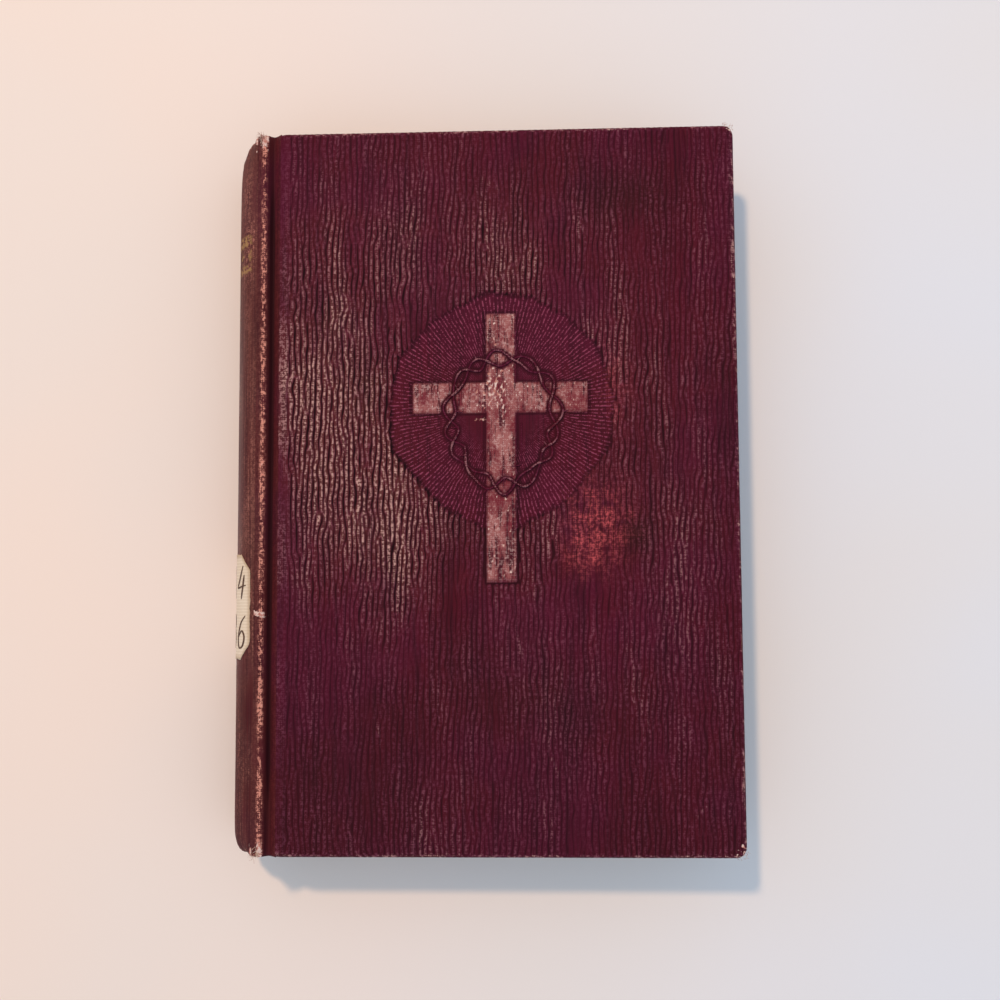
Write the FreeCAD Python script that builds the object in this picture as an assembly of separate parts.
import FreeCAD, Part
import math
import os

# A cloth-bound prayer book lying closed on its back cover.
# It is drawn from the shoulder line, the line along the top of the spine's ridge: x runs from there
# to the fore-edge, y from tail to head and z up from the back cover. place() then moves every piece
# so that the origin is under the middle of the whole book. All lengths are in millimetres.

# ---- Case: boards and cloth ----
board_height = 189.2
board_width = 119.8
board_thickness = 2.4
cloth_thickness = 0.4
turn_in = 15.0
corner_radius = 2.8
edge_round = 0.7
joint_width = 4.8
bevel_width = 1.8
bevel_depth = 0.7

# ---- Endpapers, leaves and sections ----
paper_thickness = 0.16
leaf_thickness = 0.14
leaf_gap = 0.06
front_leaf_count = 4
back_leaf_count = 3
section_count = 20
section_thickness = 0.96
section_gap = 0.04
square = 3.4
paste_margin = 3.2

# ---- Rounded spine ----
spine_bulge = 8.6
ridge_reach = 1.6
ridge_drop = 0.7
spine_end_drop = 1.86
inlay_thickness = 0.6
block_round = 5.4
block_shoulder = 0.6
mull_thickness = 0.2
lining_thickness = 0.2
layer_gap = 0.02
mull_end_margin = 12.0
mull_flap_width = 25.0

# ---- Joint groove ----
hinge_x = 2.4
hinge_drop = 0.3
groove_x = 2.5
groove_clearance = 0.05

# ---- Sewing and end bands ----
thread_diameter = 0.4
stitch_length = 12.0
stitch_spacing = 42.0
stitch_rows = 4
band_radius = 0.9
band_tab = 8.0
band_tab_thickness = 0.3

# ---- Spine label ----
label_width = 27.2
label_height = 27.6
label_corner = 4.2
label_thickness = 0.15
label_y = -31.0

# ---- Blind-stamped emblem on the front cover ----
emblem_x = 63.4
emblem_y = 20.1
nimbus_radius = 30.0
nimbus_depth = 0.2
cross_bar = 7.7
cross_width = 45.6
cross_head = 25.3
cross_foot = 44.9
cross_arm_y = 3.1

# ---- Levels of the stack, from the back cover's outer face upwards ----
turn_in_depth = cloth_thickness + board_thickness + cloth_thickness
cover_depth = turn_in_depth + paper_thickness
leaf_pitch = leaf_thickness + leaf_gap
section_pitch = section_thickness + section_gap
z_back_flyleaf = cover_depth + leaf_gap
z_back_leaves = z_back_flyleaf + paper_thickness + leaf_gap
z_sections = z_back_leaves + back_leaf_count * leaf_pitch
z_front_leaves = z_sections + section_count * section_pitch
z_front_flyleaf = z_front_leaves + front_leaf_count * leaf_pitch
z_front_cover = z_front_flyleaf + paper_thickness + leaf_gap
book_thickness = z_front_cover + cover_depth
z_middle = book_thickness / 2
z_block_middle = z_sections + section_count * section_pitch / 2

# ---- Plan sizes ----
cover_height = board_height + 2 * cloth_thickness
board_fore = joint_width + board_width
cover_fore = board_fore + cloth_thickness
page_height = cover_height - 2 * square
page_fore = cover_fore - square - 0.2
label_gap = 0.01
x_shift = (spine_bulge + label_gap + label_thickness - cover_fore) / 2

# ---- Arc of the case spine ----
spine_half_chord = z_middle - spine_end_drop
spine_sagitta = spine_bulge - ridge_reach
spine_radius = (spine_half_chord ** 2 + spine_sagitta ** 2) / (2 * spine_sagitta)
spine_centre_x = spine_radius - spine_bulge
spine_half_angle = math.asin(spine_half_chord / spine_radius)

# ---- Arc of the sewn back of the sections ----
block_half = section_count * section_pitch / 2
block_radius = (block_half ** 2 + block_round ** 2) / (2 * block_round)
block_centre_x = block_shoulder - block_round + block_radius
fold_radius = section_thickness / 2
mull_inner = block_radius + thread_diameter + 0.1
lining_inner = mull_inner + mull_thickness + layer_gap
block_half_angle = math.asin((block_half - 0.1) / block_radius)


def vec(x, y, z):
    """A point or direction."""
    return FreeCAD.Vector(x, y, z)


def place(shape):
    """Moves a shape from the shoulder line to the frame under the middle of the book."""
    moved = shape.copy()
    moved.translate(vec(x_shift, 0, 0))
    return moved


def save(name, shapes):
    """Writes one node from a list of separate solids."""
    solids = [place(s) for s in shapes]
    whole = solids[0] if len(solids) == 1 else Part.makeCompound(solids)
    whole.exportStep("parts/" + name + ".step")


def slab(x0, x1, half_height, z0, z1):
    """A flat sheet centred on y = 0."""
    return Part.makeBox(x1 - x0, 2 * half_height, z1 - z0, vec(x0, -half_height, z0))


def flip(shape):
    """The back cover's copy of a front cover piece, mirrored through the middle of the thickness."""
    return shape.mirror(vec(0, 0, z_middle), vec(0, 0, 1))


def arc_shell(centre_x, centre_z, inner, outer, half_angle, y0, y1):
    """A curved sheet round the back of the book: part of a ring about an axis along y."""
    def at(radius, angle):
        return vec(centre_x - radius * math.cos(angle), y0, centre_z + radius * math.sin(angle))

    outside = Part.Arc(at(outer, -half_angle), at(outer, 0), at(outer, half_angle)).toShape()
    inside = Part.Arc(at(inner, half_angle), at(inner, 0), at(inner, -half_angle)).toShape()
    top = Part.makeLine(at(outer, half_angle), at(inner, half_angle))
    bottom = Part.makeLine(at(inner, -half_angle), at(outer, -half_angle))
    face = Part.Face(Part.Wire([outside, top, inside, bottom]))
    return face.extrude(vec(0, y1 - y0, 0))


def corner_edges(shape, x):
    """The upright edges of a cover piece at its fore-edge corners."""
    return [e for e in shape.Edges
            if abs(e.Vertexes[0].X - x) < 1e-6 and abs(e.Vertexes[-1].X - x) < 1e-6
            and abs(e.Vertexes[0].Z - e.Vertexes[-1].Z) > 1e-6]


def bevel_cutter(z_top):
    """The wedge pressed off a cover's outer edge along the joint."""
    start = joint_width - 1.0
    drop = bevel_depth * (1.0 + 1.0 / bevel_width)
    corners = [vec(start, -cover_height, z_top - drop),
               vec(joint_width + bevel_width, -cover_height, z_top),
               vec(joint_width + bevel_width, -cover_height, z_top + 1.0),
               vec(start, -cover_height, z_top + 1.0)]
    return Part.Face(Part.makePolygon(corners + corners[:1])).extrude(vec(0, 2 * cover_height, 0))


# ---- Front cover, in place at the top of the stack ----

def front_board():
    """The binder's board, with rounded corners and the joint edge pressed to a bevel."""
    z1 = book_thickness - cloth_thickness
    board = slab(joint_width, board_fore, board_height / 2, z1 - board_thickness, z1)
    board = board.makeFillet(corner_radius - cloth_thickness, corner_edges(board, board_fore))
    return board.cut(bevel_cutter(z1))


def cover_cloth():
    """Cloth over the board's outer face, round its three free edges and turned in behind."""
    z0 = book_thickness - turn_in_depth
    skin = slab(joint_width, cover_fore, cover_height / 2, z0, book_thickness)
    skin = skin.makeFillet(corner_radius, corner_edges(skin, cover_fore))
    outer = [e for e in skin.Edges
             if all(abs(v.Z - book_thickness) < 1e-6 for v in e.Vertexes)
             and max(v.X for v in e.Vertexes) > joint_width + 1.0]
    skin = skin.makeFillet(edge_round, outer)
    window_half = board_height / 2 - turn_in
    window = slab(joint_width, board_fore - turn_in, window_half, z0, z0 + cloth_thickness)
    return skin.cut(bevel_cutter(book_thickness)).cut(front_board()).cut(window)


def cross_face(z):
    """Outline of the cross, centred on the emblem."""
    bar = cross_bar / 2
    arm = cross_width / 2
    low = cross_arm_y - bar
    high = cross_arm_y + bar
    outline = [(-bar, -cross_foot), (bar, -cross_foot), (bar, low), (arm, low), (arm, high), (bar, high),
               (bar, cross_head), (-bar, cross_head), (-bar, high), (-arm, high), (-arm, low), (-bar, low)]
    points = [vec(emblem_x + x, emblem_y + y, z) for x, y in outline]
    return Part.Face(Part.makePolygon(points + points[:1]))


def front_cloth():
    """The front cover's cloth, stamped with a sunk round nimbus that leaves a raised cross."""
    z0 = book_thickness - nimbus_depth
    disc = Part.makeCylinder(nimbus_radius, 1.0, vec(emblem_x, emblem_y, z0))
    cross = cross_face(z0).extrude(vec(0, 0, 1.0))
    return cover_cloth().cut(disc.cut(cross))


def front_mull_flap():
    """The gauze flap glued to the board under the pastedown."""
    z1 = book_thickness - cloth_thickness - board_thickness
    half = page_height / 2 - mull_end_margin
    return slab(joint_width, joint_width + mull_flap_width, half, z1 - mull_thickness, z1)


def front_pastedown():
    """The endpaper half glued to the board, filling the window that the turn-ins leave."""
    half = cover_height / 2 - square
    z1 = z_front_cover + paper_thickness
    sheet = slab(joint_width, board_fore - paste_margin, half, z_front_cover, z1)
    fill_half = board_height / 2 - turn_in - layer_gap
    fill = slab(joint_width, board_fore - turn_in - layer_gap, fill_half, z1, z1 + cloth_thickness)
    return sheet.fuse(fill).removeSplitter().cut(front_mull_flap())


# ---- Joint: the flexible strips between the shoulder and the board ----

def joint_path():
    """Outer line of the cloth from the spine's arc, over the ridge and through the groove to the board."""
    angle = spine_half_angle + layer_gap / spine_radius
    start = (spine_centre_x - spine_radius * math.cos(angle), z_middle + spine_radius * math.sin(angle))
    groove_top = z_front_cover + paper_thickness + mull_thickness + 2 * layer_gap + groove_clearance
    groove_z = groove_top + cloth_thickness
    ridge_z = book_thickness - ridge_drop
    slope = (book_thickness - bevel_depth - groove_z) / (joint_width - groove_x)
    points = [start,
              (start[0] + 1.0, start[1] + 0.62),
              (start[0] + 1.9, ridge_z),
              (start[0] + 2.8, ridge_z - 0.45),
              (groove_x - 0.7, groove_z + 0.5),
              (groove_x, groove_z),
              (groove_x + 0.9, groove_z + 0.62 * slope),
              (joint_width, book_thickness - bevel_depth)]
    curve = Part.BSplineCurve()
    curve.interpolate(Points=[vec(x, 0, z) for x, z in points],
                      InitialTangent=vec(math.sin(angle), 0, math.cos(angle)),
                      FinalTangent=vec(1.0, 0, 0.5 * slope))
    return curve


def joint_cloth():
    """The strip of cloth that bends when the cover opens."""
    outer = joint_path()
    steps = 24
    first, last = outer.FirstParameter, outer.LastParameter
    inner_points = []
    for i in range(steps + 1):
        t = first + (last - first) * i / steps
        tangent = outer.tangent(t)[0]
        inward = vec(tangent.z, 0, -tangent.x)
        inner_points.append(outer.value(t) + inward * cloth_thickness)
    inner = Part.BSplineCurve()
    inner.interpolate(inner_points)
    edges = [outer.toShape(),
             Part.makeLine(outer.value(last), inner_points[-1]),
             inner.toShape(),
             Part.makeLine(inner_points[0], outer.value(first))]
    face = Part.Face(Part.Wire(Part.sortEdges(edges)[0]))
    strip = face.extrude(vec(0, cover_height, 0))
    strip.translate(vec(0, -cover_height / 2, 0))
    trim = slab(joint_width - layer_gap, joint_width + 5.0, cover_height, 0, book_thickness + 5.0)
    return strip.cut(trim)


def joint_paper():
    """The strip of endpaper across the joint, level with the pastedown."""
    half = cover_height / 2 - square
    end = joint_width - layer_gap
    return slab(block_shoulder, end, half, z_front_cover, z_front_cover + paper_thickness)


def joint_mull():
    """The strip of gauze across the joint, over the endpaper."""
    z0 = z_front_cover + paper_thickness + layer_gap
    half = page_height / 2 - mull_end_margin
    return slab(block_shoulder, joint_width - layer_gap, half, z0, z0 + mull_thickness)


# ---- Case spine ----

def spine_sheet(depth0, depth1, y0, y1):
    """A curved sheet of the case spine between two depths below its outer face."""
    return arc_shell(spine_centre_x, z_middle, spine_radius - depth1, spine_radius - depth0,
                     spine_half_angle, y0, y1)


def spine_inlay():
    """The card strip that stiffens the spine of the case."""
    depth = cloth_thickness
    return spine_sheet(depth, depth + inlay_thickness, -board_height / 2, board_height / 2)


def spine_cloth():
    """Cloth over the inlay, turned in over its ends at head and tail."""
    half = cover_height / 2
    inner = cloth_thickness + inlay_thickness
    whole = spine_sheet(0, inner + cloth_thickness, -half, half)
    hollow_half = half - cloth_thickness - turn_in
    hollow = spine_sheet(inner, inner + 2 * cloth_thickness, -hollow_half, hollow_half)
    return whole.cut(spine_inlay()).cut(hollow)


def spine_label():
    """A paper shelf label with cut corners, glued round the spine."""
    half_angle = label_width / 2 / spine_radius
    inner = spine_radius + label_gap
    sheet = arc_shell(spine_centre_x, z_middle, inner, inner + label_thickness, half_angle,
                      label_y - label_height / 2, label_y + label_height / 2)
    wide = (inner + label_thickness) * math.sin(half_angle)
    tall = label_height / 2
    narrow = wide - label_corner * wide / (label_width / 2)
    short = tall - label_corner
    outline = [(-wide, -short), (-narrow, -tall), (narrow, -tall), (wide, -short),
               (wide, short), (narrow, tall), (-narrow, tall), (-wide, short)]
    points = [vec(-2 * spine_bulge, label_y + y, z_middle + z) for z, y in outline]
    keep = Part.Face(Part.makePolygon(points + points[:1])).extrude(vec(4 * spine_bulge, 0, 0))
    return sheet.common(keep)


# ---- Sewn back of the text block ----

def fold_centre(index):
    """Centre of a section's back fold; section 0 is the one next to the front cover."""
    z = z_front_leaves - section_gap / 2 - (index + 0.5) * section_pitch
    rise = z - z_block_middle
    reach = block_radius - fold_radius
    return block_centre_x - math.sqrt(reach ** 2 - rise ** 2), z


def section(index):
    """One folded section: a thin block of leaves with a rounded back fold."""
    x, z = fold_centre(index)
    outer_x = fold_centre(0)[0]
    fore = page_fore + x - outer_x
    low, high = z - fold_radius, z + fold_radius
    fold = Part.Arc(vec(x, 0, high), vec(x - fold_radius, 0, z), vec(x, 0, low)).toShape()
    rest = Part.makePolygon([vec(x, 0, low), vec(fore, 0, low), vec(fore, 0, high), vec(x, 0, high)])
    face = Part.Face(Part.Wire([fold] + rest.Edges))
    block = face.extrude(vec(0, page_height, 0))
    block.translate(vec(0, -page_height / 2, 0))
    return block


def sewing_thread():
    """The stitches along each back fold, at every sewing station."""
    stitches = []
    reach = block_radius + 0.05 + thread_diameter / 2
    for index in range(section_count):
        x, z = fold_centre(index)
        angle = math.atan2(z - z_block_middle, block_centre_x - x)
        at_x = block_centre_x - reach * math.cos(angle)
        at_z = z_block_middle + reach * math.sin(angle)
        for row in range(stitch_rows):
            y = (row - (stitch_rows - 1) / 2) * stitch_spacing - stitch_length / 2
            foot = vec(at_x, y, at_z)
            stitches.append(Part.makeCylinder(thread_diameter / 2, stitch_length, foot, vec(0, 1, 0)))
    return stitches


def spine_mull():
    """Gauze glued over the sewn folds."""
    half = page_height / 2 - mull_end_margin
    return arc_shell(block_centre_x, z_block_middle, mull_inner, mull_inner + mull_thickness,
                     block_half_angle, -half, half)


def spine_lining():
    """Strong paper glued over the gauze."""
    half = page_height / 2 - mull_end_margin
    return arc_shell(block_centre_x, z_block_middle, lining_inner, lining_inner + lining_thickness,
                     block_half_angle, -half, half)


def end_band(side):
    """The corded band at the head (side 1) or tail (side -1), with the cloth tab that glues it down."""
    bead_y = side * (page_height / 2 + band_radius + 0.1)
    bead_path = block_radius - band_radius + 0.2
    start = vec(block_centre_x - bead_path * math.cos(block_half_angle), bead_y,
                z_block_middle - bead_path * math.sin(block_half_angle))
    along = vec(math.sin(block_half_angle), 0, -math.cos(block_half_angle))
    disc = Part.Face(Part.Wire(Part.makeCircle(band_radius, start, along)))
    bead = disc.revolve(vec(block_centre_x, 0, z_block_middle), vec(0, 1, 0),
                        math.degrees(2 * block_half_angle))
    ends = sorted((bead_y, side * (page_height / 2 - band_tab)))
    inner = block_radius + layer_gap
    tab = arc_shell(block_centre_x, z_block_middle, inner, inner + band_tab_thickness,
                    block_half_angle, ends[0], ends[1])
    return bead.fuse(tab)


# ---- Loose leaves ----

def leaf(z0, thickness):
    """A leaf from its turning line in the gutter to the fore-edge."""
    return slab(hinge_x, page_fore, page_height / 2, z0, z0 + thickness)


def main():
    """Builds and writes every node."""
    os.makedirs("parts", exist_ok=True)
    both_sides = {"board": front_board(), "mull_flap": front_mull_flap(), "pastedown": front_pastedown(),
                  "joint_cloth": joint_cloth(), "joint_mull": joint_mull(), "joint_paper": joint_paper()}
    for name, shape in both_sides.items():
        save("front_" + name, [shape])
        save("back_" + name, [flip(shape)])
    save("front_cloth", [front_cloth()])
    save("back_cloth", [flip(cover_cloth())])
    save("spine_inlay", [spine_inlay()])
    save("spine_cloth", [spine_cloth()])
    save("spine_label", [spine_label()])
    save("sewing_thread", sewing_thread())
    save("spine_mull", [spine_mull()])
    save("spine_lining", [spine_lining()])
    save("head_band", [end_band(1)])
    save("tail_band", [end_band(-1)])
    for index in range(section_count):
        save("section_%02d" % (index + 1), [section(index)])
    save("front_flyleaf", [leaf(z_front_flyleaf, paper_thickness)])
    save("back_flyleaf", [leaf(z_back_flyleaf, paper_thickness)])
    for index in range(front_leaf_count):
        z = z_front_flyleaf - (index + 1) * leaf_pitch
        save("front_leaf_%d" % (index + 1), [leaf(z, leaf_thickness)])
    for index in range(back_leaf_count):
        z = z_back_leaves + index * leaf_pitch
        save("back_leaf_%d" % (index + 1), [leaf(z, leaf_thickness)])
    hinge = (hinge_x + x_shift, hinge_drop, book_thickness - hinge_drop)
    print("thickness %.3f, height %.3f" % (book_thickness, cover_height))
    print("hinge lines: x %.4f, back z %.4f, front z %.4f" % hinge)
    print("shoulder line at x %.4f, page fore-edge at x %.4f" % (x_shift, page_fore + x_shift))


main()
